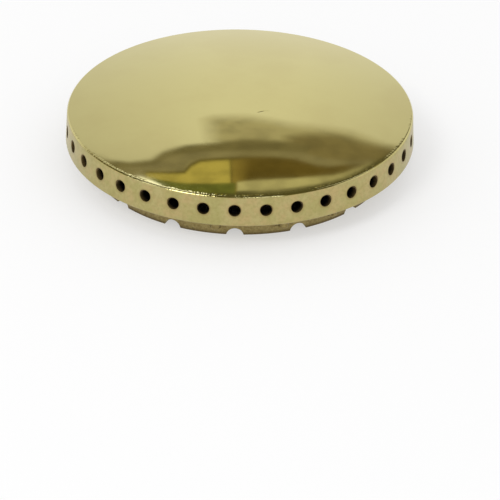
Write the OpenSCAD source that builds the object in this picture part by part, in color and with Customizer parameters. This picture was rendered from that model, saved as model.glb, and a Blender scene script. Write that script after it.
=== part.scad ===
// Cast brass cap for a ring gas burner. A polished dome sits on a thick turned band that is drilled with
// flame ports. Under the band a flange runs in to a notched skirt, which drops into the burner head and has
// locating pegs round its foot. The cap stands on the edge of its skirt with the dome up. The origin is the
// middle of that edge, +Z is the axis, and the front notch and the front port face -Y.

/* [Rim] */
// Diameter of the band at its lower edge
rim_d = 100; // [90:1:130]
// Height of the turned band
band_h = 9; // [8:0.5:14]
// How far the band leans in between its lower and upper edges
band_lean = 0.5; // [0:0.1:2]
// Rounding of the cast edge under the band
flange_round = 0.5; // [0.2:0.1:1]

/* [Dome] */
// Rise of the dome above the band
dome_rise = 5.5; // [4:0.25:9]
// Thickness of the metal at the middle of the dome
dome_wall = 4; // [2.5:0.25:4.5]
// Rounding of the shoulder between dome and band
shoulder_round = 0.8; // [0.3:0.1:2]

/* [Skirt] */
// Depth of the skirt below the band
skirt_h = 7; // [6.5:0.5:12]
// Width of the flange that is left outside the skirt
flange_w = 7; // [6:0.25:9]
// Thickness of the skirt at its edge
skirt_wall = 3.4; // [2:0.2:4]
// Draft of the skirt's cast walls, in degrees
draft = 2; // [0.5:0.25:3]
// Fillet at the skirt's foot
foot_fillet = 0.8; // [0.3:0.1:1.5]
// Rounding of both edges of the skirt
edge_round = 0.5; // [0.2:0.1:0.8]

/* [Notches] */
// Number of notches in the skirt's edge
notch_count = 15; // [6:1:18]
// Radius of a notch's round bottom
notch_r = 2.4; // [1.5:0.1:3.5]
// Depth of a notch from the skirt's edge
notch_depth = 2.1; // [1.2:0.1:2.8]
// Rounding of the two corners of a notch
notch_round = 0.5; // [0.2:0.1:0.8]

/* [Locating pegs] */
// Number of evenly spaced pegs
peg_count = 8; // [4:1:12]
// Diameter of a peg
peg_d = 3; // [2:0.2:3.6]
// Height of a peg below the flange
peg_h = 4.8; // [3:0.2:5.5]
// How far a peg stands out from the skirt's foot
peg_stand = 1.75; // [1.2:0.05:2.2]
// Rounding of a peg's tip
peg_round = 0.6; // [0.2:0.1:0.8]
// Turn of the pegs from the front notch, in degrees
peg_turn = -7.2; // [-22:0.1:22]
// Turn of the single index peg from the front notch, in degrees
index_turn = 18; // [10:0.5:30]

/* [Flame ports] */
// Number of ports round the band
port_count = 36; // [18:1:42]
// Diameter of a port
port_d = 3.3; // [2:0.1:4]
// Upward slope of the ports towards the outside, in degrees
port_slope = 11.5; // [5:0.5:15]
// Height of a port's outer mouth above the flange
port_h = 4.8; // [4.2:0.1:5]

/* [Gas chamber] */
// Height of the ledge over the ports, above the flange
ledge_h = 5; // [4.7:0.1:5.5]
// Width of the ledge
ledge_w = 2.9; // [2:0.1:5]
// Rounding of the ledge's inner edge
ledge_round = 0.9; // [0.3:0.1:1.5]
// Fillet between the chamber's wall and the ledge
ledge_fillet = 0.6; // [0.2:0.1:0.8]
// Width of the sloping step between ledge and floor
step_w = 3.3; // [2:0.1:5]
// Height of the sloping step
step_h = 2.65; // [1.5:0.05:3]
// Fillet between the step and the floor
floor_fillet = 1.5; // [0.5:0.1:3]

/* [Cross-lighting hole] */
// Diameter of the small hole through the skirt
light_d = 1.6; // [1:0.1:2.4]
// Height of its centre above the skirt's edge
light_h = 4.4; // [3.8:0.1:5]
// Turn of the hole from the front notch, in degrees
light_turn = 148.4; // [140:0.2:160]

/* [Hidden] */
$fn = 96;
// Segments of the two large arcs and steps of each small one
ball_fn = 360;
arc_steps = 6;
// Spare length by which a cutter runs past what it cuts
spare = 1;
// Direction of the front, where the first notch and port are
front = -90;

// Radii, from the outside in
rim_r = rim_d / 2;
tip_r = rim_r - flange_w;
foot_r = tip_r + skirt_h * tan(draft);
bore_r = tip_r - skirt_wall;

// Heights, from the skirt's edge up
flange_z = skirt_h;
band_top_z = flange_z + band_h;
crown_z = band_top_z + dome_rise;
ledge_z = flange_z + ledge_h;
root_z = ledge_z + step_h;
ceiling_z = crown_z - dome_wall;

// The drafted wall of the chamber narrows upwards
function chamber_r(z) = bore_r - z * tan(draft);
ledge_r = chamber_r(ledge_z) - ledge_w;
floor_r = ledge_r - step_w;

// The band leans in, and faces slightly upwards
band_top_r = rim_r - band_lean;
band_facing = atan(band_lean / band_h);
step_facing = atan(step_w / step_h);

// Radius of the ball whose cap has this radius and rise
function ball_of(cap_r, rise) = (cap_r * cap_r + rise * rise) / (2 * rise);
dome_ball = ball_of(band_top_r, dome_rise);
floor_ball = ball_of(floor_r, ceiling_z - root_z);

// Ports: a mouth on the leaning band, a run through the rim, and a start inside the chamber
port_z = flange_z + port_h;
port_mouth_r = rim_r - port_h * tan(band_facing);
port_run = (port_mouth_r - chamber_r(port_z)) / cos(port_slope);

peg_axis_r = foot_r + peg_stand - peg_d / 2;
peg_tip_z = flange_z - peg_h;

function unit(v) = v / norm(v);
function on_circle(centre, r, angle) = centre + r * [cos(angle), sin(angle)];

// Points of an arc, by its centre, radius and two angles
function arc(centre, r, from, to) =
    [for (i = [0:arc_steps]) on_circle(centre, r, from + (to - from) * i / arc_steps)];

// Arc of radius r that rounds corner b between its neighbours a and c
function rounded(a, b, c, r) =
    let (u = unit(a - b))
    let (w = unit(c - b))
    let (half = acos(u * w) / 2)
    let (side = cross(u, w) > 0 ? 1 : -1)
    let (centre = b + unit(u + w) * r / sin(half))
    let (from = atan2(u.y, u.x) - side * 90)
    arc(centre, r, from, from - side * (180 - 2 * half));

// Inner corners of a path of [radius, height, rounding], each as its arc
function softened(path) =
    [for (i = [1:len(path) - 2])
        each rounded(flat(path[i - 1]), flat(path[i]), flat(path[i + 1]), path[i].z)];
function flat(p) = [p.x, p.y];

// Arc that rounds the corner between a straight wall and a ball centred on the axis. The wall runs through
// the given point and faces along the given angle
function wall_to_ball(point, facing, ball_z, ball_r, r) =
    let (reach = [cos(facing), sin(facing)] * (point - [0, ball_z]))
    let (up = facing + acos((reach - r) / (ball_r - r)))
    arc(on_circle([0, ball_z], ball_r - r, up), r, facing, up);

// Half section from the axis out along a path, round a last corner and over a ball of the given top
module ball_topped(start, path, facing, top_z, ball_r, last_round) {
    wall_end = flat(path[len(path) - 1]);
    shoulder = wall_to_ball(wall_end, facing, top_z - ball_r, ball_r, last_round);
    shoulder_end = shoulder[arc_steps];
    intersection() {
        polygon(concat(start, softened(path), shoulder, [[shoulder_end.x, top_z + spare], [0, top_z + spare]]));
        translate([0, top_z - ball_r]) circle(ball_r, $fn = ball_fn);
    }
}

module outer_section() {
    path = [
        [0, 0, 0],
        [tip_r, 0, edge_round],
        [foot_r, flange_z, foot_fillet],
        [rim_r, flange_z, flange_round],
        [band_top_r, band_top_z, 0]
    ];
    ball_topped([[0, 0]], path, band_facing, crown_z, dome_ball, shoulder_round);
}

module chamber_section() {
    path = [
        [tip_r, 0, 0],
        [bore_r, 0, edge_round],
        [chamber_r(ledge_z), ledge_z, ledge_fillet],
        [ledge_r, ledge_z, ledge_round],
        [floor_r, root_z, 0]
    ];
    mouth_r = softened(path)[0].x;
    ball_topped([[0, -spare], [mouth_r, -spare]], path, step_facing, ceiling_z, floor_ball, floor_fillet);
}

// Outline of a notch, drawn upside down from the skirt's edge at y = 0, with both of its corners rounded
module notch_outline() {
    sunk = notch_r - notch_depth;
    corner_x = sqrt(pow(notch_r + notch_round, 2) - pow(notch_round + sunk, 2));
    corner_y = (notch_round + sunk) * notch_r / (notch_r + notch_round) - sunk;
    difference() {
        union() {
            translate([0, -sunk]) circle(notch_r);
            translate([-corner_x, -spare]) square([2 * corner_x, spare + corner_y]);
        }
        for (side = [-1, 1])
            translate([side * corner_x, notch_round]) circle(notch_round);
    }
}

module notch() {
    cut_from = bore_r - spare;
    cut_to = tip_r + notch_depth * tan(draft) + edge_round;
    translate([cut_from, 0, 0]) rotate([90, 0, 90]) linear_extrude(cut_to - cut_from) notch_outline();
}

module port() {
    translate([port_mouth_r, 0, port_z]) rotate([0, 90 - port_slope, 0])
        translate([0, 0, -port_run - spare]) cylinder(h = port_run + 2 * spare, d = port_d);
}

module light_hole() {
    translate([bore_r - spare, 0, light_h]) rotate([0, 90, 0])
        cylinder(h = skirt_wall + 2 * spare, d = light_d);
}

// A peg stands on the flange with its tip down, half sunk in the skirt's wall
module peg() {
    path = [[0, 0, 0], [peg_d / 2, 0, peg_round], [peg_d / 2, peg_h, 0]];
    top = peg_h + foot_fillet;
    translate([peg_axis_r, 0, peg_tip_z]) rotate_extrude()
        polygon(concat([[0, 0]], softened(path), [[peg_d / 2, top], [0, top]]));
}

module around(count, turn = 0) {
    for (i = [0:count - 1])
        rotate([0, 0, front + turn + 360 * i / count]) children();
}

module burner_cap() {
    color("#c2b26c") {
        difference() {
            rotate_extrude($fn = ball_fn) difference() {
                outer_section();
                chamber_section();
            }
            around(notch_count) notch();
            around(port_count) port();
            around(1, light_turn) light_hole();
        }
        around(peg_count, peg_turn) peg();
        around(1, index_turn) peg();
    }
}

burner_cap();
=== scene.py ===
import math

import bpy
from mathutils import Matrix, Vector


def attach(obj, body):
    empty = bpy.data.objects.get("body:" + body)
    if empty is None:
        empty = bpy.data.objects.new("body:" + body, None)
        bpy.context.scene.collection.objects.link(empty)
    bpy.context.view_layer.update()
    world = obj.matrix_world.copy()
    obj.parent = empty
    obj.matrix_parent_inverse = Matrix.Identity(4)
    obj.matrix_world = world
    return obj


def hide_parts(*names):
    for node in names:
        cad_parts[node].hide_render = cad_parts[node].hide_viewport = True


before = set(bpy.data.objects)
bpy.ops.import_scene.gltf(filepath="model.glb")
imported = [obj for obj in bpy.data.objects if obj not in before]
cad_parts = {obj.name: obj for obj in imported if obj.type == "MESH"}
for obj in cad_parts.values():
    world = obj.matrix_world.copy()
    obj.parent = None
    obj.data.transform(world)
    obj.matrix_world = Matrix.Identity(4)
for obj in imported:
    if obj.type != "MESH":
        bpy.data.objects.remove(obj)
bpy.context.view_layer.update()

# A cast brass cap for a ring gas burner: a polished dome over a turned band that is drilled with flame
# ports, and under it a cast flange, a notched skirt and a hollow gas chamber. Lengths are in metres.

MM = 0.001

# The casting's main sizes
RIM_R = 50 * MM
BAND_H = 9 * MM
BAND_LEAN = 0.5 * MM
DOME_RISE = 5.5 * MM
DOME_WALL = 4 * MM
SKIRT_H = 7 * MM
FLANGE_W = 7 * MM
SKIRT_WALL = 3.4 * MM
DRAFT = math.radians(2)
LEDGE_H = 5 * MM
LEDGE_W = 2.9 * MM
STEP_W = 3.3 * MM
STEP_H = 2.65 * MM

# Rounded corners of the section
FLANGE_ROUND = 0.5 * MM
SHOULDER_ROUND = 0.8 * MM
FOOT_FILLET = 0.8 * MM
EDGE_ROUND = 0.5 * MM
LEDGE_ROUND = 0.9 * MM
LEDGE_FILLET = 0.6 * MM
FLOOR_FILLET = 1.5 * MM

# What stands round the axis: notches, pegs, flame ports and the small cross-lighting hole
NOTCH_COUNT = 15
NOTCH_R = 2.4 * MM
NOTCH_DEPTH = 2.1 * MM
NOTCH_ROUND = 0.5 * MM
NOTCH_FLARE = 0.35 * MM
PEG_COUNT = 8
PEG_R = 1.5 * MM
PEG_H = 4.8 * MM
PEG_STAND = 1.75 * MM
PEG_ROUND = 0.6 * MM
PEG_FLARE = 0.5 * MM
PEG_TURN = math.radians(-7.2)
INDEX_TURN = math.radians(18)
PORT_COUNT = 36
PORT_R = 1.65 * MM
PORT_SLOPE = math.radians(11.5)
PORT_H = 4.8 * MM
PORT_BREAK = 0.15 * MM
LIGHT_R = 0.8 * MM
LIGHT_H = 4.4 * MM
LIGHT_TURN = math.radians(148.4)
FRONT = math.radians(-90)
SPARE = 1 * MM

# Heights and radii that follow from them
FLANGE_Z = SKIRT_H
BAND_TOP_Z = FLANGE_Z + BAND_H
CROWN_Z = BAND_TOP_Z + DOME_RISE
LEDGE_Z = FLANGE_Z + LEDGE_H
ROOT_Z = LEDGE_Z + STEP_H
CEILING_Z = CROWN_Z - DOME_WALL
TIP_R = RIM_R - FLANGE_W
FOOT_R = TIP_R + SKIRT_H * math.tan(DRAFT)
BORE_R = TIP_R - SKIRT_WALL
BAND_TOP_R = RIM_R - BAND_LEAN
BAND_FACING = math.atan(BAND_LEAN / BAND_H)
STEP_FACING = math.atan(STEP_W / STEP_H)


def chamber_r(z):
    """Radius of the chamber's drafted wall at a height."""
    return BORE_R - z * math.tan(DRAFT)


LEDGE_R = chamber_r(LEDGE_Z) - LEDGE_W
FLOOR_R = LEDGE_R - STEP_W
PORT_Z = FLANGE_Z + PORT_H
PORT_MOUTH_R = RIM_R - PORT_H * math.tan(BAND_FACING)
PORT_RUN = (PORT_MOUTH_R - chamber_r(PORT_Z)) / math.cos(PORT_SLOPE)
PEG_AXIS_R = FOOT_R + PEG_STAND - PEG_R

# How finely the mesh is cut
TURN_SEGMENTS = 360
PORT_SEGMENTS = 36
PEG_SEGMENTS = 32
ARC_STEPS = 8
DOME_RINGS = 26
FLOOR_RINGS = 10
# Narrow first ring of a ball's arc, which keeps the smooth shading of the corner off the ball
FIRST_RING = 0.15 * MM
SHARP_ANGLE = math.radians(33)
WELD = 0.002 * MM

# Numbers that mark each stretch of the section with its finish, and how far past one of them a face has to
# be on average to take the next
CAST, TURNED, POLISHED = 0.0, 1.0, 2.0
NEXT_FINISH = 0.25


# Section outlines, in (radius, height)

def arc(centre, r, start, end, steps=ARC_STEPS):
    angles = [start + (end - start) * i / steps for i in range(steps + 1)]
    return [centre + r * Vector((math.cos(a), math.sin(a))) for a in angles]


def rounded(before, corner, after, r):
    """Arc of radius r that rounds a corner between its two neighbours."""
    u = (before - corner).normalized()
    w = (after - corner).normalized()
    half = math.acos(u.dot(w)) / 2
    side = math.copysign(1, u.x * w.y - u.y * w.x)
    centre = corner + (u + w).normalized() * (r / math.sin(half))
    start = math.atan2(u.y, u.x) - side * math.pi / 2
    return arc(centre, r, start, start - side * (math.pi - 2 * half))


def softened(path):
    """Inner corners of a path of (radius, height, rounding), each as its arc."""
    flat = [Vector(p[:2]) for p in path]
    points = []
    for i in range(1, len(path) - 1):
        points += rounded(flat[i - 1], flat[i], flat[i + 1], path[i][2])
    return points


def ball_of(cap_r, rise):
    """Radius of the ball whose cap has this radius and rise."""
    return (cap_r ** 2 + rise ** 2) / (2 * rise)


def over_ball(wall_end, facing, top_z, ball_r, corner_r, rings):
    """Rounded corner from a straight wall onto a ball on the axis, and the ball's arc up to the axis."""
    ball = Vector((0, top_z - ball_r))
    reach = Vector((math.cos(facing), math.sin(facing))).dot(Vector(wall_end) - ball)
    up = facing + math.acos((reach - corner_r) / (ball_r - corner_r))
    corner_centre = ball + (ball_r - corner_r) * Vector((math.cos(up), math.sin(up)))
    corner = arc(corner_centre, corner_r, facing, up)
    first = arc(ball, ball_r, up, up + FIRST_RING / ball_r, 1)[1:]
    cap = first + arc(ball, ball_r, up, math.pi / 2, rings)[1:]
    cap[-1] = Vector((0, top_z))
    return corner, cap


def cap_section():
    """The whole section from the chamber's middle, out round the skirt and up over the dome."""
    chamber = [
        (TIP_R, 0, 0),
        (BORE_R, 0, EDGE_ROUND),
        (chamber_r(LEDGE_Z), LEDGE_Z, LEDGE_FILLET),
        (LEDGE_R, LEDGE_Z, LEDGE_ROUND),
        (FLOOR_R, ROOT_Z, 0),
    ]
    outside = [
        (0, 0, 0),
        (TIP_R, 0, EDGE_ROUND),
        (FOOT_R, FLANGE_Z, FOOT_FILLET),
        (RIM_R, FLANGE_Z, FLANGE_ROUND),
        (BAND_TOP_R, BAND_TOP_Z, 0),
    ]
    ceiling_ball = ball_of(FLOOR_R, CEILING_Z - ROOT_Z)
    step_end, ceiling = over_ball(
        (FLOOR_R, ROOT_Z), STEP_FACING, CEILING_Z, ceiling_ball, FLOOR_FILLET, FLOOR_RINGS)
    dome_ball = ball_of(BAND_TOP_R, DOME_RISE)
    shoulder, dome = over_ball(
        (BAND_TOP_R, BAND_TOP_Z), BAND_FACING, CROWN_Z, dome_ball, SHOULDER_ROUND, DOME_RINGS)
    below = (softened(chamber) + step_end + ceiling)[::-1] + softened(outside)
    above = shoulder + dome
    # The turned band begins and ends about halfway round the corners under and over it
    half = ARC_STEPS // 2
    finish = [CAST] * (len(below) - half) + [TURNED] * (2 * half) + [POLISHED] * (len(above) - half)
    return below + above, finish


def port_section():
    """A drill with a slight countersink where it leaves the band, which lies at height 0."""
    start = -PORT_RUN - SPARE
    return [(0, start), (PORT_R, start), (PORT_R, -PORT_BREAK), (PORT_R + 2 * PORT_BREAK, PORT_BREAK),
            (PORT_R + 2 * PORT_BREAK, SPARE), (0, SPARE)]


def light_section():
    length = SKIRT_WALL + 2 * SPARE
    return [(0, 0), (LIGHT_R, 0), (LIGHT_R, length), (0, length)]


def peg_section():
    """A peg with its tip at height 0, flared where it meets the flange and running on into the metal."""
    tip = rounded(Vector((0, 0)), Vector((PEG_R, 0)), Vector((PEG_R, PEG_H)), PEG_ROUND)
    flare = arc(Vector((PEG_R + PEG_FLARE, PEG_H - PEG_FLARE)), PEG_FLARE, math.pi, math.pi / 2)
    sunk = PEG_H + FOOT_FILLET
    return [(0, 0)] + tip + flare + [(PEG_R + PEG_FLARE, sunk), (0, sunk)]


def notch_outline(grown):
    """Closed outline of a notch in (across, height), grown outwards into the metal all round."""
    sunk = NOTCH_R - NOTCH_DEPTH
    corner_x = math.sqrt((NOTCH_R + NOTCH_ROUND) ** 2 - (NOTCH_ROUND + sunk) ** 2)
    lean = math.atan2(NOTCH_ROUND + sunk, corner_x)
    bowl = arc(Vector((0, -sunk)), NOTCH_R + grown, lean, math.pi - lean, 4 * ARC_STEPS)
    corner_r = NOTCH_ROUND - grown
    right = arc(Vector((corner_x, NOTCH_ROUND)), corner_r, -math.pi / 2, lean - math.pi)
    left = arc(Vector((-corner_x, NOTCH_ROUND)), corner_r, -lean, -math.pi / 2)
    below = [Vector((-corner_x, -SPARE)), Vector((corner_x, -SPARE))]
    return right + bowl[1:-1] + left + below


# Mesh helpers

def new_object(name, mesh):
    made = bpy.data.objects.new(name, mesh)
    bpy.context.scene.collection.objects.link(made)
    return made


def section_object(name, points, finish=None):
    """A chain of edges in the XY plane, with the finish of each point if it is given."""
    mesh = bpy.data.meshes.new(name)
    edges = [(i, i + 1) for i in range(len(points) - 1)]
    mesh.from_pydata([(p[0], p[1], 0) for p in points], edges, [])
    if finish:
        layer = mesh.attributes.new("finish", "FLOAT", "POINT")
        layer.data.foreach_set("value", finish)
    return new_object(name, mesh)


def notch_cutter(name):
    """Loft through the skirt along +X that flares at both walls, so that it leaves soft edges."""
    wall_out = TIP_R + NOTCH_DEPTH / 2 * math.tan(DRAFT)
    wall_in = chamber_r(NOTCH_DEPTH / 2)
    bends = [math.pi / 2 * i / ARC_STEPS for i in range(ARC_STEPS + 1)]
    curl = [(NOTCH_FLARE * (1 - math.cos(b)), NOTCH_FLARE * (1 - math.sin(b))) for b in bends]
    stations = [(wall_in - SPARE, NOTCH_FLARE)]
    stations += [(wall_in + depth, grown) for depth, grown in curl]
    stations += [(wall_out - depth, grown) for depth, grown in curl[::-1]]
    stations += [(wall_out + SPARE, NOTCH_FLARE)]
    verts = [(x, p.x, p.y) for x, grown in stations for p in notch_outline(grown)]
    size = len(verts) // len(stations)
    faces = [list(range(size))[::-1], list(range(len(verts) - size, len(verts)))]
    for ring in range(len(stations) - 1):
        for i in range(size):
            j = (i + 1) % size
            faces.append((ring * size + i, ring * size + j, (ring + 1) * size + j, (ring + 1) * size + i))
    mesh = bpy.data.meshes.new(name)
    mesh.from_pydata(verts, [], faces)
    return new_object(name, mesh)


# Node helpers

def node(tree, kind, options=None, inputs=None):
    """Adds a node, sets its options and gives each named input a value or a link."""
    made = tree.nodes.new(kind)
    for name, value in (options or {}).items():
        setattr(made, name, value)
    for key, value in (inputs or {}).items():
        if isinstance(value, bpy.types.NodeSocket):
            tree.links.new(value, made.inputs[key])
        else:
            made.inputs[key].default_value = value
    return made


def calc(tree, operation, *values):
    kind = "ShaderNodeMath"
    return node(tree, kind, {"operation": operation}, dict(enumerate(values))).outputs[0]


def vector_calc(tree, operation, *values):
    kind = "ShaderNodeVectorMath"
    made = node(tree, kind, {"operation": operation}, dict(enumerate(values)))
    return made.outputs["Value" if operation in ("LENGTH", "DOT_PRODUCT") else "Vector"]


def new_group(name, kind, inputs, outputs):
    """A node group with its sockets, and the nodes that read and write them."""
    group = bpy.data.node_groups.new(name, kind)
    sockets = group.interface
    for label, socket_kind, value in inputs:
        socket = sockets.new_socket(label, in_out="INPUT", socket_type="NodeSocket" + socket_kind)
        if value is not None:
            socket.default_value = value
    for label, socket_kind in outputs:
        sockets.new_socket(label, in_out="OUTPUT", socket_type="NodeSocket" + socket_kind)
    return group, node(group, "NodeGroupInput").outputs, node(group, "NodeGroupOutput").inputs


def use_group(tree, group, inputs=None):
    kind = {"GeometryNodeTree": "GeometryNodeGroup", "ShaderNodeTree": "ShaderNodeGroup"}[tree.bl_idname]
    return node(tree, kind, {"node_tree": group}, inputs).outputs


# Geometry: turning, copying round the axis, drilling and cutting

def turning_group():
    """Turns a chain of edges, drawn as (radius, height), round the Z axis into a closed skin."""
    group, given, result = new_group(
        "Turned", "GeometryNodeTree",
        [("Section", "Geometry", None), ("Segments", "Int", 32)], [("Mesh", "Geometry")])
    hub = 1 * MM
    circle = node(group, "GeometryNodeCurvePrimitiveCircle", inputs={
        "Resolution": given["Segments"], "Radius": hub})
    moved = node(group, "GeometryNodeTransform", inputs={
        "Geometry": given["Section"], "Translation": (-hub, 0, 0), "Rotation": (math.pi, 0, 0)})
    chain = node(group, "GeometryNodeMeshToCurve", inputs={"Mesh": moved.outputs[0]})
    skin = node(group, "GeometryNodeCurveToMesh",
                inputs={"Curve": circle.outputs[0], "Profile Curve": chain.outputs[0]})
    closed = node(group, "GeometryNodeMergeByDistance", inputs={
        "Geometry": skin.outputs[0], "Distance": WELD})
    outward = node(group, "GeometryNodeFlipFaces", inputs={"Mesh": closed.outputs[0]})
    group.links.new(outward.outputs[0], result["Mesh"])
    return group


def ring_group():
    """Copies of a shape, evenly turned round the Z axis."""
    group, given, result = new_group(
        "Ring of copies", "GeometryNodeTree",
        [("Shape", "Geometry", None), ("Count", "Int", 1), ("Turn", "Float", 0.0)],
        [("Copies", "Geometry")])
    points = node(group, "GeometryNodePoints", inputs={"Count": given["Count"]})
    index = node(group, "GeometryNodeInputIndex")
    share = calc(group, "DIVIDE", index.outputs[0], given["Count"])
    angle = calc(group, "MULTIPLY_ADD", share, math.tau, given["Turn"])
    turn = node(group, "ShaderNodeCombineXYZ", inputs={"Z": angle})
    copies = node(group, "GeometryNodeInstanceOnPoints", inputs={
        "Points": points.outputs[0], "Instance": given["Shape"], "Rotation": turn.outputs[0]})
    real = node(group, "GeometryNodeRealizeInstances", inputs={"Geometry": copies.outputs[0]})
    group.links.new(real.outputs[0], result["Copies"])
    return group


def cap_tree(materials):
    """Turns the section, drills the ports, cuts the notches and adds the pegs."""
    turned, ring = turning_group(), ring_group()
    numbers = [
        ("Segments", "Int", TURN_SEGMENTS), ("Sharp Angle", "Float", SHARP_ANGLE),
        ("Port Count", "Int", PORT_COUNT), ("Port Slope", "Float", PORT_SLOPE),
        ("Notch Count", "Int", NOTCH_COUNT), ("Light Turn", "Float", LIGHT_TURN),
        ("Peg Count", "Int", PEG_COUNT), ("Peg Turn", "Float", PEG_TURN),
        ("Index Turn", "Float", INDEX_TURN)]
    shapes = ["Port Section", "Light Section", "Peg Section", "Notch Cutter"]
    tree, given, result = new_group(
        "Burner cap", "GeometryNodeTree",
        [("Geometry", "Geometry", None)] + numbers + [(shape, "Object", None) for shape in shapes],
        [("Geometry", "Geometry")])

    def shape_of(name):
        return node(tree, "GeometryNodeObjectInfo", inputs={"Object": given[name]}).outputs["Geometry"]

    def painted(mesh, finish, chosen=True):
        return node(tree, "GeometryNodeSetMaterial", inputs={
            "Geometry": mesh, "Selection": chosen, "Material": materials[finish]}).outputs[0]

    def turn_section(section, segments):
        return use_group(tree, turned, {"Section": section, "Segments": segments})["Mesh"]

    def placed(mesh, place, rotation=(0, 0, 0)):
        return node(tree, "GeometryNodeTransform", inputs={
            "Geometry": mesh, "Translation": place, "Rotation": rotation}).outputs[0]

    def around(mesh, count, turn):
        from_front = calc(tree, "ADD", turn, FRONT)
        return use_group(tree, ring, {"Shape": mesh, "Count": count, "Turn": from_front})["Copies"]

    body = turn_section(given["Geometry"], given["Segments"])
    finish = node(tree, "GeometryNodeInputNamedAttribute", {"data_type": "FLOAT"}, {
        "Name": "finish"}).outputs[0]
    body = painted(body, "cast")
    body = painted(body, "turned", calc(tree, "GREATER_THAN", finish, CAST + NEXT_FINISH))
    body = painted(body, "polished", calc(tree, "GREATER_THAN", finish, TURNED + NEXT_FINISH))

    from_upright = calc(tree, "SUBTRACT", math.pi / 2, given["Port Slope"])
    lean = node(tree, "ShaderNodeCombineXYZ", inputs={"Y": from_upright})
    port = painted(turn_section(shape_of("Port Section"), PORT_SEGMENTS), "drilled")
    port = placed(port, (PORT_MOUTH_R, 0, PORT_Z), lean.outputs[0])
    light = painted(turn_section(shape_of("Light Section"), PORT_SEGMENTS), "drilled")
    light = placed(light, (BORE_R - SPARE, 0, LIGHT_H), (0, math.pi / 2, 0))
    notch = painted(shape_of("Notch Cutter"), "cast")
    peg = painted(turn_section(shape_of("Peg Section"), PEG_SEGMENTS), "cast")
    peg = placed(peg, (PEG_AXIS_R, 0, FLANGE_Z - PEG_H))

    cut = node(tree, "GeometryNodeMeshBoolean", {"operation": "DIFFERENCE", "solver": "MANIFOLD"})
    tree.links.new(body, cut.inputs["Mesh 1"])
    for tool in (around(port, given["Port Count"], 0.0), around(light, 1, given["Light Turn"]),
                 around(notch, given["Notch Count"], 0.0)):
        tree.links.new(tool, cut.inputs["Mesh 2"])
    whole = node(tree, "GeometryNodeMeshBoolean", {"operation": "UNION", "solver": "MANIFOLD"})
    for solid in (cut.outputs[0], around(peg, given["Peg Count"], given["Peg Turn"]),
                  around(peg, 1, given["Index Turn"])):
        tree.links.new(solid, whole.inputs["Mesh 2"])

    clean = node(tree, "GeometryNodeMergeByDistance", inputs={
        "Geometry": whole.outputs[0], "Distance": WELD})
    corner = node(tree, "GeometryNodeInputMeshEdgeAngle").outputs["Unsigned Angle"]
    smooth = node(tree, "GeometryNodeSetShadeSmooth", {"domain": "FACE"}, {"Geometry": clean.outputs[0]})
    creased = node(tree, "GeometryNodeSetShadeSmooth", {"domain": "EDGE"}, {
        "Geometry": smooth.outputs[0], "Shade Smooth": False,
        "Selection": calc(tree, "GREATER_THAN", corner, given["Sharp Angle"])})
    tree.links.new(creased.outputs[0], result["Geometry"])
    return tree


def make_cap(materials):
    """Runs the tree once and keeps the plain mesh that it makes."""
    points, finish = cap_section()
    host = section_object("cap_section", points, finish)
    helpers = {
        "Port Section": section_object("port_section", port_section()),
        "Light Section": section_object("light_section", light_section()),
        "Peg Section": section_object("peg_section", peg_section()),
        "Notch Cutter": notch_cutter("notch_cutter"),
    }
    tree = cap_tree(materials)
    modifier = host.modifiers.new("cap", "NODES")
    modifier.node_group = tree
    for item in tree.interface.items_tree:
        if item.name in helpers:
            modifier[item.identifier] = helpers[item.name]
    depsgraph = bpy.context.evaluated_depsgraph_get()
    mesh = bpy.data.meshes.new_from_object(host.evaluated_get(depsgraph), depsgraph=depsgraph)
    mesh.name = "cap_casting"
    for done in [host] + list(helpers.values()):
        bpy.data.objects.remove(done)
    return new_object("cap_casting", mesh)


# Shader groups that the finishes share. Noise is 0.5 on average, and each pair of values below is where a
# pattern that is drawn from it begins and where it is full

PATCH_RANGE = (0.4, 0.65)
WORN_RANGE = (0.35, 0.6)
RIPPLED_RANGE = (0.42, 0.55)

# Pits: which cells have one by the value drawn for the cell, how far from its middle a pit begins and is
# deepest, and its depth beside the grain's
PIT_CELLS = (0.86, 0.9)
PIT_SIDES = (0.34, 0.1)
PIT_DEPTH = 0.7


def object_place(tree):
    return node(tree, "ShaderNodeTexCoord").outputs["Object"]


def eased(tree, value, low, high, first=0.0, last=1.0):
    """Goes from first to last as value goes from low to high, eased at both ends."""
    return node(tree, "ShaderNodeMapRange", {"interpolation_type": "SMOOTHSTEP"}, {
        "Value": value, "From Min": low, "From Max": high, "To Min": first, "To Max": last}).outputs[0]


def cloud(tree, vector, scale, detail=2.0, rough=0.5):
    return node(tree, "ShaderNodeTexNoise", inputs={
        "Vector": vector, "Scale": scale, "Detail": detail, "Roughness": rough}).outputs[0]


def blend(tree, share, first, second):
    """Colour that goes from first to second as share goes from 0 to 1."""
    return node(tree, "ShaderNodeMix", {"data_type": "RGBA"}, {0: share, 6: first, 7: second}).outputs[2]


def from_axis(tree):
    """Distance from the Z axis, height, and the direction outwards, by these names."""
    split = node(tree, "ShaderNodeSeparateXYZ", inputs={0: object_place(tree)}).outputs
    flat = node(tree, "ShaderNodeCombineXYZ", inputs={"X": split["X"], "Y": split["Y"]}).outputs[0]
    return {"radius": vector_calc(tree, "LENGTH", flat), "height": split["Z"],
            "outwards": vector_calc(tree, "NORMALIZE", flat)}


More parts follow.
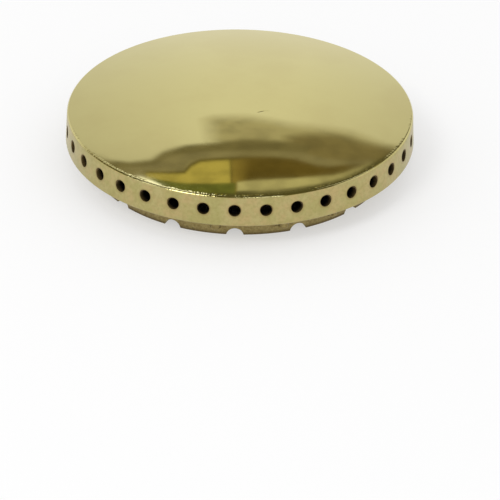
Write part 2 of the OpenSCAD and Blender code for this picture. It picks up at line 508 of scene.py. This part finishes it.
def turning_marks_group():
    """Fine rings round the axis, as a tool or a buffing wheel leaves them."""
    group, given, result = new_group(
        "Turning marks", "ShaderNodeTree",
        [("Radial Scale", "Float", 1000.0), ("Height Scale", "Float", 1000.0),
         ("Sweep Scale", "Float", 3.0)],
        [("Height", "Float")])
    spot = from_axis(group)
    across = calc(group, "ADD", calc(group, "MULTIPLY", spot["radius"], given["Radial Scale"]),
                  calc(group, "MULTIPLY", spot["height"], given["Height Scale"]))
    swept = vector_calc(group, "SCALE", spot["outwards"])
    group.links.new(given["Sweep Scale"], swept.node.inputs["Scale"])
    split = node(group, "ShaderNodeSeparateXYZ", inputs={0: swept}).outputs
    spun = node(group, "ShaderNodeCombineXYZ", inputs={"X": across, "Y": split["X"], "Z": split["Y"]})
    group.links.new(cloud(group, spun.outputs[0], 1.0), result["Height"])
    return group


def mottle_group():
    """Soft patches between two tones, as handling and slight tarnish leave them."""
    group, given, result = new_group(
        "Mottle", "ShaderNodeTree",
        [("Colour", "Color", (0.5, 0.4, 0.2, 1)), ("Patch Colour", "Color", (0.4, 0.3, 0.1, 1)),
         ("Scale", "Float", 100.0), ("Amount", "Float", 0.5)],
        [("Colour", "Color"), ("Mask", "Float")])
    patch = eased(group, cloud(group, object_place(group), given["Scale"], 4.0, 0.6), *PATCH_RANGE)
    mask = calc(group, "MULTIPLY", patch, given["Amount"])
    group.links.new(blend(group, mask, given["Colour"], given["Patch Colour"]), result["Colour"])
    group.links.new(mask, result["Mask"])
    return group


def sand_skin_group():
    """The grain of a sand casting, with a pit here and there."""
    group, given, result = new_group(
        "Sand skin", "ShaderNodeTree",
        [("Grain Scale", "Float", 1800.0), ("Pit Scale", "Float", 520.0)],
        [("Height", "Float"), ("Pits", "Float")])
    place = object_place(group)
    grains = cloud(group, place, given["Grain Scale"], 3.0, 0.65)
    cells = node(group, "ShaderNodeTexVoronoi", inputs={"Vector": place, "Scale": given["Pit Scale"]})
    drawn = node(group, "ShaderNodeSeparateColor", inputs={0: cells.outputs["Color"]}).outputs[0]
    pit = eased(group, cells.outputs["Distance"], *PIT_SIDES)
    pits = calc(group, "MULTIPLY", eased(group, drawn, *PIT_CELLS), pit)
    group.links.new(calc(group, "MULTIPLY_ADD", pits, -PIT_DEPTH, grains), result["Height"])
    group.links.new(pits, result["Pits"])
    return group


def rubbed_group():
    """Bare metal on the skirt's edge and on the tips of the pegs, where the cap rubs in its burner head."""
    group, given, result = new_group(
        "Rubbed", "ShaderNodeTree",
        [("Edge Reach", "Float", 0.2 * MM), ("Peg Radius", "Float", TIP_R + 1 * MM),
         ("Peg Height", "Float", FLANGE_Z - PEG_H), ("Wear Scale", "Float", 900.0),
         ("Least Wear", "Float", 0.45)],
        [("Mask", "Float")])
    spot = from_axis(group)
    edge = eased(group, spot["height"], given["Edge Reach"], 0.0)
    above_tip = calc(group, "SUBTRACT", spot["height"], given["Peg Height"])
    tip = calc(group, "MULTIPLY", eased(group, above_tip, given["Edge Reach"], 0.0),
               calc(group, "GREATER_THAN", spot["radius"], given["Peg Radius"]))
    patchy = cloud(group, object_place(group), given["Wear Scale"], 3.0)
    worn = eased(group, patchy, *WORN_RANGE, given["Least Wear"])
    group.links.new(calc(group, "MULTIPLY", calc(group, "MAXIMUM", edge, tip), worn), result["Mask"])
    return group


def by_the_ports_group():
    """1 at the mouths of the ports, and less and less until the reach is passed."""
    group, given, result = new_group(
        "By the ports", "ShaderNodeTree",
        [("Count", "Float", PORT_COUNT), ("Mouth", "Float", PORT_R), ("Reach", "Float", 1 * MM)],
        [("Mask", "Float")])
    spot = from_axis(group)
    split = node(group, "ShaderNodeSeparateXYZ", inputs={0: spot["outwards"]}).outputs
    turn = calc(group, "SUBTRACT", calc(group, "ARCTAN2", split["Y"], split["X"]), FRONT)
    pitch = calc(group, "DIVIDE", math.tau, given["Count"])
    ports = calc(group, "DIVIDE", turn, pitch)
    nearest = calc(group, "ROUND", ports)
    from_nearest = calc(group, "MULTIPLY", calc(group, "SUBTRACT", ports, nearest), pitch)
    aside = calc(group, "MULTIPLY", from_nearest, spot["radius"])
    upwards = calc(group, "SUBTRACT", spot["height"], PORT_Z)
    offset = node(group, "ShaderNodeCombineXYZ", inputs={"X": aside, "Y": upwards}).outputs[0]
    beyond = calc(group, "SUBTRACT", vector_calc(group, "LENGTH", offset), given["Mouth"])
    group.links.new(eased(group, calc(group, "DIVIDE", beyond, given["Reach"]), 1.0, 0.0), result["Mask"])
    return group


def chatter_group():
    """Small ripples round the corner between dome and band, deeper along some stretches than others."""
    group, given, result = new_group(
        "Chatter", "ShaderNodeTree",
        [("Corner Radius", "Float", BAND_TOP_R), ("Reach", "Float", 1.1 * MM),
         ("Sweep Scale", "Float", 75.0), ("Stretch Scale", "Float", 4.0)],
        [("Height", "Float")])
    spot = from_axis(group)
    inwards = calc(group, "SUBTRACT", given["Corner Radius"], spot["radius"])
    near = eased(group, calc(group, "DIVIDE", inwards, given["Reach"]), 1.0, 0.75)
    ripples = calc(group, "SUBTRACT", cloud(group, spot["outwards"], given["Sweep Scale"], 1.0), 0.5)
    rippled = cloud(group, spot["outwards"], given["Stretch Scale"], 1.0)
    share = calc(group, "MULTIPLY", near, eased(group, rippled, *RIPPLED_RANGE))
    group.links.new(calc(group, "MULTIPLY", share, ripples), result["Height"])
    return group


def nick_group():
    """A short straight nick: 1 along its middle and 0 past its ends and sides."""
    group, given, result = new_group(
        "Nick", "ShaderNodeTree",
        [("Middle", "Vector", None), ("Along", "Vector", None), ("Half Length", "Float", 1 * MM),
         ("Half Width", "Float", 0.2 * MM)],
        [("Mask", "Float")])
    away = vector_calc(group, "SUBTRACT", object_place(group), given["Middle"])
    run = vector_calc(group, "DOT_PRODUCT", away, given["Along"])
    beside = vector_calc(group, "LENGTH", vector_calc(group, "CROSS_PRODUCT", away, given["Along"]))
    run_share = calc(group, "DIVIDE", calc(group, "ABSOLUTE", run), given["Half Length"])
    length = eased(group, run_share, 1.0, 0.2)
    width = eased(group, calc(group, "DIVIDE", beside, given["Half Width"]), 1.0, 0.0)
    group.links.new(calc(group, "MULTIPLY", length, width), result["Mask"])
    return group


# Finishes of the brass. Polished for the dome, turned for the band, cast for all that lies under it, and
# drilled for the bores, which are browned by the flames

DOME_TONE = (0.60, 0.535, 0.225)
DOME_HAZE = (0.56, 0.485, 0.20)
BAND_TONE = (0.475, 0.41, 0.18)
BAND_BLUSH = (0.50, 0.385, 0.175)
BAND_OLIVE = (0.40, 0.365, 0.135)
BAND_SPECK = (0.34, 0.29, 0.105)
BAND_HEAT = (0.30, 0.225, 0.09)
CAST_TONE = (0.305, 0.24, 0.095)
CAST_STAIN = (0.20, 0.145, 0.055)
CAST_GLINT = (0.42, 0.34, 0.14)
# Painted shade for the foot of the skirt's outside
CAST_FOOT_SHADE = (0.10, 0.07, 0.03)
PIT_TONE = (0.17, 0.13, 0.055)
RUBBED_TONE = (0.52, 0.44, 0.19)
BORE_TONE = (0.18, 0.12, 0.04)
BORE_STAIN = (0.07, 0.045, 0.016)
# Painted shade deep in the bores
BORE_DEEP_SHADE = (0.004, 0.003, 0.002)

# Patches that lie over each finish: their tone, the scale of their pattern and how much of them shows
DOME_PATCHES = [(DOME_HAZE, 38.0, 0.5)]
BAND_PATCHES = [(BAND_BLUSH, 330.0, 0.9), (BAND_OLIVE, 170.0, 0.7), (BAND_SPECK, 1100.0, 0.4)]
CAST_PATCHES = [(CAST_STAIN, 190.0, 0.5), (CAST_STAIN, 640.0, 0.5), (CAST_GLINT, 1500.0, 0.55)]
BORE_PATCHES = [(BORE_STAIN, 420.0, 0.8)]

# Roughness of each finish, and how far haze raises the dome's and rubbing lowers the cast skin's
DOME_ROUGHNESS = 0.04
HAZE_RAISES = 0.05
BAND_ROUGHNESS = 0.33
CAST_ROUGHNESS = 0.42
RUBBING_LOWERS = 0.12
BORE_ROUGHNESS = 0.5
BORE_METALLIC = 0.45

# Relief of each finish, in millimetres
BUFFING_RELIEF = 0.0006
WAVE_RELIEF = 0.010
CHATTER_RELIEF = 0.09
TOOLING_RELIEF = 0.006
SAND_RELIEF = 0.2
WAVE_SCALE = 70.0
BUFFING_MARKS = {"Radial Scale": 900.0, "Height Scale": 0.0, "Sweep Scale": 7.0}
TOOLING_MARKS = {"Radial Scale": 0.0, "Height Scale": 5000.0, "Sweep Scale": 4.0}

# Browning round the mouths of the ports, painted shade that deepens inside them, and painted shade on the
# foot of the skirt's outside, where it stands on the floor
HEAT_REACH = 0.9 * MM
HEAT_SHARE = 0.55
BORE_SHADE_DEPTH = 2.2 * MM
FOOT_SHADE_TOP = 1.5 * MM
FOOT_SHADE_FULL = 0.3 * MM
FOOT_SHADE_SHARE = 0.8

# The nick on the dome and the scratch that runs on from it, and their depths in millimetres
NICK = {"Middle": Vector((6.1, -10.6, 21.17)) * MM, "Along": Vector((0.87, 0.5, 0)).normalized(),
        "Half Length": 1.35 * MM, "Half Width": 0.32 * MM}
SCRATCH = {"Middle": Vector((7.8, -9.9, 21.15)) * MM, "Along": Vector((1, 0.05, 0)).normalized(),
           "Half Length": 0.9 * MM, "Half Width": 0.16 * MM}
NICK_DEPTH = 0.05
SCRATCH_DEPTH = 0.008


def brass(name, roughness, metallic=1.0):
    """A metal with its own roughness, and the tree and shader to dress further."""
    material = bpy.data.materials.new(name)
    material.use_nodes = True
    tree = material.node_tree
    shader = tree.nodes["Principled BSDF"]
    shader.inputs["Metallic"].default_value = metallic
    shader.inputs["Roughness"].default_value = roughness
    return material, tree, shader


def opaque(tone):
    return (*tone, 1)


def patched(tree, mottle, tone, patches):
    """A tone with each set of patches laid over it in turn, and the mask of the last set."""
    colour, mask = opaque(tone), None
    for patch, scale, amount in patches:
        laid = use_group(tree, mottle, {
            "Colour": colour, "Patch Colour": opaque(patch), "Scale": scale, "Amount": amount})
        colour, mask = laid["Colour"], laid["Mask"]
    return colour, mask


def raise_by(tree, shader, height_mm):
    """Bump whose height is given in millimetres."""
    raised = node(tree, "ShaderNodeBump", inputs={"Height": height_mm, "Distance": MM})
    tree.links.new(raised.outputs[0], shader.inputs["Normal"])


def polished_brass(marks, mottle):
    material, tree, shader = brass("polished_brass", DOME_ROUGHNESS)
    tone, haze = patched(tree, mottle, DOME_TONE, DOME_PATCHES)
    tree.links.new(tone, shader.inputs["Base Color"])
    roughness = calc(tree, "MULTIPLY_ADD", haze, HAZE_RAISES, DOME_ROUGHNESS)
    tree.links.new(roughness, shader.inputs["Roughness"])
    waves = cloud(tree, object_place(tree), WAVE_SCALE, 1.0)
    buffed = use_group(tree, marks, BUFFING_MARKS)["Height"]
    mark = nick_group()
    nick = use_group(tree, mark, NICK)["Mask"]
    scratch = use_group(tree, mark, SCRATCH)["Mask"]
    chatter = use_group(tree, chatter_group())["Height"]
    height = calc(tree, "MULTIPLY_ADD", buffed, BUFFING_RELIEF, calc(tree, "MULTIPLY", waves, WAVE_RELIEF))
    height = calc(tree, "MULTIPLY_ADD", nick, -NICK_DEPTH, height)
    height = calc(tree, "MULTIPLY_ADD", chatter, CHATTER_RELIEF, height)
    raise_by(tree, shader, calc(tree, "MULTIPLY_ADD", scratch, -SCRATCH_DEPTH, height))
    return material


def turned_brass(marks, mottle):
    material, tree, shader = brass("turned_brass", BAND_ROUGHNESS)
    tone = patched(tree, mottle, BAND_TONE, BAND_PATCHES)[0]
    heat = use_group(tree, by_the_ports_group(), {"Reach": HEAT_REACH})["Mask"]
    tone = blend(tree, calc(tree, "MULTIPLY", heat, HEAT_SHARE), tone, opaque(BAND_HEAT))
    tree.links.new(tone, shader.inputs["Base Color"])
    tooled = use_group(tree, marks, TOOLING_MARKS)["Height"]
    raise_by(tree, shader, calc(tree, "MULTIPLY", tooled, TOOLING_RELIEF))
    return material


def cast_brass(mottle):
    material, tree, shader = brass("cast_brass", CAST_ROUGHNESS)
    skin = use_group(tree, sand_skin_group())
    tone = patched(tree, mottle, CAST_TONE, CAST_PATCHES)[0]
    spot = from_axis(tree)
    outside = calc(tree, "GREATER_THAN", spot["radius"], TIP_R - EDGE_ROUND / 2)
    # Painted shade along the foot of the skirt's outside, darker towards the floor
    low = eased(tree, spot["height"], FOOT_SHADE_TOP, FOOT_SHADE_FULL, 0.0, FOOT_SHADE_SHARE)
    tone = blend(tree, calc(tree, "MULTIPLY", outside, low), tone, opaque(CAST_FOOT_SHADE))
    tone = blend(tree, skin["Pits"], tone, opaque(PIT_TONE))
    rubbed = use_group(tree, rubbed_group())["Mask"]
    tone = blend(tree, rubbed, tone, opaque(RUBBED_TONE))
    tree.links.new(tone, shader.inputs["Base Color"])
    roughness = calc(tree, "MULTIPLY_ADD", rubbed, -RUBBING_LOWERS, CAST_ROUGHNESS)
    tree.links.new(roughness, shader.inputs["Roughness"])
    raise_by(tree, shader, calc(tree, "MULTIPLY", skin["Height"], SAND_RELIEF))
    return material


def drilled_brass(mottle):
    material, tree, shader = brass("drilled_brass", BORE_ROUGHNESS, BORE_METALLIC)
    tone = patched(tree, mottle, BORE_TONE, BORE_PATCHES)[0]
    # The bores darken to near black inwards from their mouths: painted shade
    bore_shade = eased(tree, from_axis(tree)["radius"], PORT_MOUTH_R, PORT_MOUTH_R - BORE_SHADE_DEPTH)
    tree.links.new(blend(tree, bore_shade, tone, opaque(BORE_DEEP_SHADE)), shader.inputs["Base Color"])
    return material


def make_materials():
    marks, mottle = turning_marks_group(), mottle_group()
    return {"polished": polished_brass(marks, mottle), "turned": turned_brass(marks, mottle),
            "cast": cast_brass(mottle), "drilled": drilled_brass(mottle)}


# Stage: floor, sky, lamp, and the boards that the polished dome mirrors

FLOOR_RADIUS = 6.0
FLOOR_SIDES = 64
FLOOR_ROUGHNESS = 0.9
FLOOR_LIT = 0.80
FLOOR_SEEN = 0.48
FLOOR_GLOW = 0.50
# Radii over which the floor's glow fades in from none under the cap: a painted shadow under it
FLOOR_SHADOW_R = 36.5 * MM
FLOOR_LIGHT_R = 39.3 * MM
SKY_FILL = 0.86
LAMP_PLACE = Vector((-0.75, -0.95, 1.35))
LAMP_SIZE = 0.6
LAMP_POWER = 6.5
BOARD_DISTANCE = 10
BOARD_GAP = 0.05
BOARD_TOP = 60
BRIGHT_TOP = 66
BOARD_COLUMNS = 80
BOARD_ROWS = 20
BOARD_PATCH_SCALE = 2.4
BOARD_PATCH_SHARE = 0.8
BOARD_PATCH_DIMMING = 0.72

# The ceiling closes the top, its slope comes down at the sides and behind the camera, and a scrim hangs
# behind each set of boards. Softness and edge are given as for the boards
CEILING_TONE = (0.13, 0.12, 0.06)
CEILING_SOFTNESS = (0.1, 2)
CEILING_EDGE = [(-180, 57), (180, 57)]
ZENITH = 90
SLOPE_SOFTNESS = (3, 5)
SLOPE_EDGE = [(21, 42), (40, 38), (90, 36), (180, 38), (270, 36), (320, 38), (339, 42)]
SCRIM_TONE = (0.76, 0.76, 0.76)
SCRIM_SOFTNESS = (19, 8)
SCRIM_EDGE = [(4, 5), (43, 5)]

# Each board: its colour, how softly its sides and its lower edge fade in degrees, and the lower edge as
# (azimuth, elevation) points in degrees, with azimuths from +Y towards +X
BOARDS = {
    "dim_board": ((0.59, 0.555, 0.44), 3.2, 2.8, [
        (-6.8, 36.3), (-4.5, 35.0), (-0.5, 34.9), (5, 36.1), (9, 35.6), (12, 34.8), (17, 35.4),
        (20, 33)]),
    "dark_board": ((0.31, 0.265, 0.165), 2.6, 2.2, [
        (4, 40.5), (7, 38.6), (11, 36.8), (15, 36.6), (18, 35.5), (22, 32)]),
    "low_board": ((0.265, 0.235, 0.15), 0.5, 0.9, [
        (-22, 37), (-20.3, 42.2), (-18, 44.2), (-14.8, 44.9), (-12.5, 43.5), (-9, 42.8), (-4.5, 42.9),
        (-1, 42), (9, 41.6)]),
    "grey_board": ((0.38, 0.345, 0.26), 0.5, 0.9, [
        (-20.3, 44.6), (-16.5, 46), (-14.5, 46.2), (-12, 45), (-8, 44.9), (0, 45.1), (8, 43.9),
        (11.5, 44.2), (15.7, 42.8), (18, 40.2)]),
    "tan_board": ((0.17, 0.14, 0.05), 0.3, 0.5, [
        (-17.2, 47.3), (-13.3, 48.8), (-10.7, 49.2), (-9.2, 47.6), (-7.6, 46.8), (-2.6, 46.8),
        (4, 46.1), (8, 46)]),
    "ochre_board": ((0.67, 0.58, 0.21), 0.3, 0.6, [
        (-17.2, 47.8), (-13.3, 49.3), (-10.7, 49.8), (-9.2, 48.3), (-7.6, 47.5), (-2.7, 47.4)]),
    "brown_board": ((0.37, 0.285, 0.095), 0.3, 0.6, [
        (-2.7, 47.3), (2.8, 46.5), (8, 46)]),
    "umber_board": ((0.185, 0.135, 0.04), 2.6, 0.6, [
        (-2, 47), (2.8, 46.4), (8, 46), (11, 46.4), (12.8, 46), (14.7, 44.6), (18, 42)]),
    "green_board": ((0.20, 0.225, 0.07), 0.3, 0.5, [
        (-17, 48.9), (-14.8, 50.6), (-12.7, 51.6), (-10.5, 52.3), (-6.5, 52.8), (-1.8, 52.9)]),
    "pale_board": ((0.71, 0.68, 0.50), 0.3, 0.5, [
        (-1.8, 52.7), (4, 51.7), (7.7, 50.8), (11.2, 49.4), (14.3, 47.7), (15.7, 46), (17, 43.8),
        (18.4, 40)]),
    "bright_board": ((2.3, 2.4, 3.0), 0.2, 0.3, [
        (-18.9, 47.9), (-17.9, 48.5), (-17.4, 49.2), (-16.4, 50.3), (-15, 52), (-14.2, 53),
        (-12.2, 54.3), (-10.6, 55)]),
    "dark_edge": ((0.13, 0.12, 0.06), 0.4, 0.4, [
        (-9.6, 54.8), (-2, 55.2), (-1.7, 54.8), (2.9, 54.5), (6.5, 53.8), (9.6, 52.6), (12.3, 51.1),
        (14.4, 49.3), (16.1, 47.3), (17.2, 45), (18.2, 40.2), (19.4, 30), (24, 24)]),
}

# Sets of boards: turn of the set round the axis and how far it hangs lower, in degrees, and 1 or -1 for the
# side to which its azimuths run
BOARD_SETS = [(0, 0, 1), (-47, 5, -1), (-93, 20, 1), (135, 14, -1), (180, 8, 1), (48, 6, -1)]


def edge_height(points, azimuth):
    """Elevation of an edge at one azimuth."""
    for (left, low), (right, high) in zip(points, points[1:]):
        if azimuth <= right:
            return low + (high - low) * (azimuth - left) / (right - left)
    return points[-1][1]


def light_path_shows(tree):
    """1 for rays that look straight at a surface, in a mirror or through glass, and 0 for the rest."""
    path = node(tree, "ShaderNodeLightPath").outputs
    either = calc(tree, "MAXIMUM", path["Is Camera Ray"], path["Is Glossy Ray"])
    return calc(tree, "MAXIMUM", either, path["Is Transmission Ray"])


def glow_paint(name, tone, mottle, patch_share=0.0):
    """Light of one tone, more or less patchy, that covers as much as the mesh says."""
    material = bpy.data.materials.new(name)
    material.use_nodes = True
    tree = material.node_tree
    tree.nodes.clear()
    patch = [BOARD_PATCH_DIMMING * part for part in tone]
    colour = patched(tree, mottle, tone, [(patch, BOARD_PATCH_SCALE, patch_share)])[0]
    cover = node(tree, "ShaderNodeAttribute", {"attribute_name": "cover"}).outputs["Fac"]
    clear = node(tree, "ShaderNodeBsdfTransparent").outputs[0]
    glow = node(tree, "ShaderNodeEmission", inputs={"Color": colour}).outputs[0]
    mixed = node(tree, "ShaderNodeMixShader", inputs={0: cover, 1: clear, 2: glow}).outputs[0]
    node(tree, "ShaderNodeOutputMaterial", inputs={"Surface": mixed})
    return material


def hang_board(name, paint, softness, edge, distance, top=BOARD_TOP, turn=0, drop=0, side=1):
    """A glowing sheet hung round the object. Only mirrored rays see it, and it fades out at its edges."""
    side_soft, low_soft = softness
    left, right = edge[0][0], edge[-1][0]
    verts, cover = [], []
    for row in range(BOARD_ROWS + 1):
        rise = (row / BOARD_ROWS) ** 2
        for column in range(BOARD_COLUMNS + 1):
            azimuth = left + (right - left) * column / BOARD_COLUMNS
            low = edge_height(edge, azimuth) - drop
            elevation = low + (top - low) * rise
            a, e = math.radians(turn + side * azimuth), math.radians(elevation)
            towards = Vector((math.sin(a) * math.cos(e), math.cos(a) * math.cos(e), math.sin(e)))
            verts.append(distance * towards)
            from_sides = min(azimuth - left, right - azimuth) / side_soft
            cover.append(min(1.0, max(0.0, min(from_sides, (elevation - low) / low_soft))))
    wide = BOARD_COLUMNS + 1
    faces = [(row * wide + i, row * wide + i + 1, (row + 1) * wide + i + 1, (row + 1) * wide + i)
             for row in range(BOARD_ROWS) for i in range(BOARD_COLUMNS)]
    mesh = bpy.data.meshes.new(name)
    mesh.from_pydata(verts, [], faces)
    layer = mesh.attributes.new("cover", "FLOAT", "POINT")
    layer.data.foreach_set("value", cover)
    mesh.materials.append(paint)
    sheet = new_object(name, mesh)
    sheet.visible_camera = False
    sheet.visible_diffuse = False
    sheet.visible_transmission = False
    sheet.visible_shadow = False


def hang_boards(mottle):
    ceiling = glow_paint("ceiling", CEILING_TONE, mottle)
    hang_board("ceiling", ceiling, CEILING_SOFTNESS, CEILING_EDGE, BOARD_DISTANCE, ZENITH)
    hang_board("ceiling_slope", ceiling, SLOPE_SOFTNESS, SLOPE_EDGE, BOARD_DISTANCE)
    scrim = glow_paint("scrim", SCRIM_TONE, mottle)
    paints = {name: glow_paint(name, board[0], mottle, BOARD_PATCH_SHARE) for name, board in BOARDS.items()}
    for number, (turn, drop, side) in enumerate(BOARD_SETS):
        behind = BOARD_DISTANCE + BOARD_GAP
        hang_board(f"scrim_{number}", scrim, SCRIM_SOFTNESS, SCRIM_EDGE, behind, turn=turn)
        for place, (name, board) in enumerate(BOARDS.items(), 1):
            softness, edge = board[1:3], board[3]
            distance = BOARD_DISTANCE - BOARD_GAP * place
            top = BRIGHT_TOP if name == "bright_board" else BOARD_TOP
            hang_board(f"{name}_{number}", paints[name], softness, edge, distance, top, turn, drop, side)


def make_floor():
    """Pale paint that shows half as plain white light round the cap, so that its shadow stays faint. Under
    the cap the glow fades out, which paints a shadow there.
    """
    mesh = bpy.data.meshes.new("floor")
    angles = [math.tau * i / FLOOR_SIDES for i in range(FLOOR_SIDES)]
    rim = [FLOOR_RADIUS * Vector((math.cos(a), math.sin(a), 0)) for a in angles]
    mesh.from_pydata(rim, [], [list(range(FLOOR_SIDES))])
    material = bpy.data.materials.new("floor_paint")
    material.use_nodes = True
    tree = material.node_tree
    shown = light_path_shows(tree)
    tone = calc(tree, "MULTIPLY_ADD", shown, FLOOR_SEEN - FLOOR_LIT, FLOOR_LIT)
    shader = tree.nodes["Principled BSDF"]
    shader.inputs["Roughness"].default_value = FLOOR_ROUGHNESS
    shader.inputs["Specular IOR Level"].default_value = 0
    shader.inputs["Emission Color"].default_value = (1, 1, 1, 1)
    radius = from_axis(tree)["radius"]
    # No glow under the cap, which paints its shadow there
    glow_past_painted_shadow = eased(tree, radius, FLOOR_SHADOW_R, FLOOR_LIGHT_R, 0.0, FLOOR_GLOW)
    tree.links.new(calc(tree, "MULTIPLY", shown, glow_past_painted_shadow), shader.inputs["Emission Strength"])
    grey = node(tree, "ShaderNodeCombineColor", inputs={0: tone, 1: tone, 2: tone})
    tree.links.new(grey.outputs[0], shader.inputs["Base Color"])
    mesh.materials.append(material)
    new_object("floor", mesh)


def make_sky():
    world = bpy.data.worlds.new("sky")
    bpy.context.scene.world = world
    world.use_nodes = True
    tree = world.node_tree
    sky = tree.nodes["Background"]
    sky.inputs["Color"].default_value = (1, 1, 1, 1)
    strength = calc(tree, "MULTIPLY_ADD", light_path_shows(tree), 1 - SKY_FILL, SKY_FILL)
    tree.links.new(strength, sky.inputs["Strength"])


def make_lamp():
    data = bpy.data.lights.new("softbox", "AREA")
    data.shape = "SQUARE"
    data.size = LAMP_SIZE
    data.energy = LAMP_POWER
    lamp = bpy.data.objects.new("softbox", data)
    bpy.context.scene.collection.objects.link(lamp)
    lamp.location = LAMP_PLACE
    lamp.rotation_euler = (-LAMP_PLACE).to_track_quat("-Z", "Y").to_euler()


# Camera: where it stands round the cap, and the pixel of a 500 x 500 frame on which it puts the middle of
# the flange's plane

FRAME_PX = 500
CAMERA_AZIMUTH = math.radians(1.25)
CAMERA_ELEVATION = math.radians(29.6)
CAMERA_ROLL = math.radians(0.92)
CAMERA_DISTANCE = 0.855
CAMERA_SEES_TO = 50
FOCAL_PX = 2968
CAP_PX = (239.8, 136.5)


def make_camera():
    data = bpy.data.cameras.new("camera")
    data.sensor_width = 36
    data.lens = FOCAL_PX * data.sensor_width / FRAME_PX
    data.clip_end = CAMERA_SEES_TO
    level = math.cos(CAMERA_ELEVATION)
    sight = Vector((
        math.sin(CAMERA_AZIMUTH) * level, -math.cos(CAMERA_AZIMUTH) * level, math.sin(CAMERA_ELEVATION)))
    middle = Vector((0, 0, FLANGE_Z))
    held = sight.to_track_quat("Z", "Y").to_matrix() @ Matrix.Rotation(CAMERA_ROLL, 3, "Z")
    seen = Vector((CAP_PX[0] - FRAME_PX / 2, FRAME_PX / 2 - CAP_PX[1], -FOCAL_PX))
    aim = seen.rotation_difference(Vector((0, 0, -1))).to_matrix()
    camera = bpy.data.objects.new("camera", data)
    bpy.context.scene.collection.objects.link(camera)
    camera.matrix_world = Matrix.Translation(middle + CAMERA_DISTANCE * sight) @ (held @ aim).to_4x4()
    bpy.context.scene.camera = camera


make_camera()
make_sky()
make_lamp()
make_floor()
hang_boards(mottle_group())

cap = make_cap(make_materials())
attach(cap, "root")
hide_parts("burner_cap")

bpy.context.scene.view_settings.view_transform = "Standard"
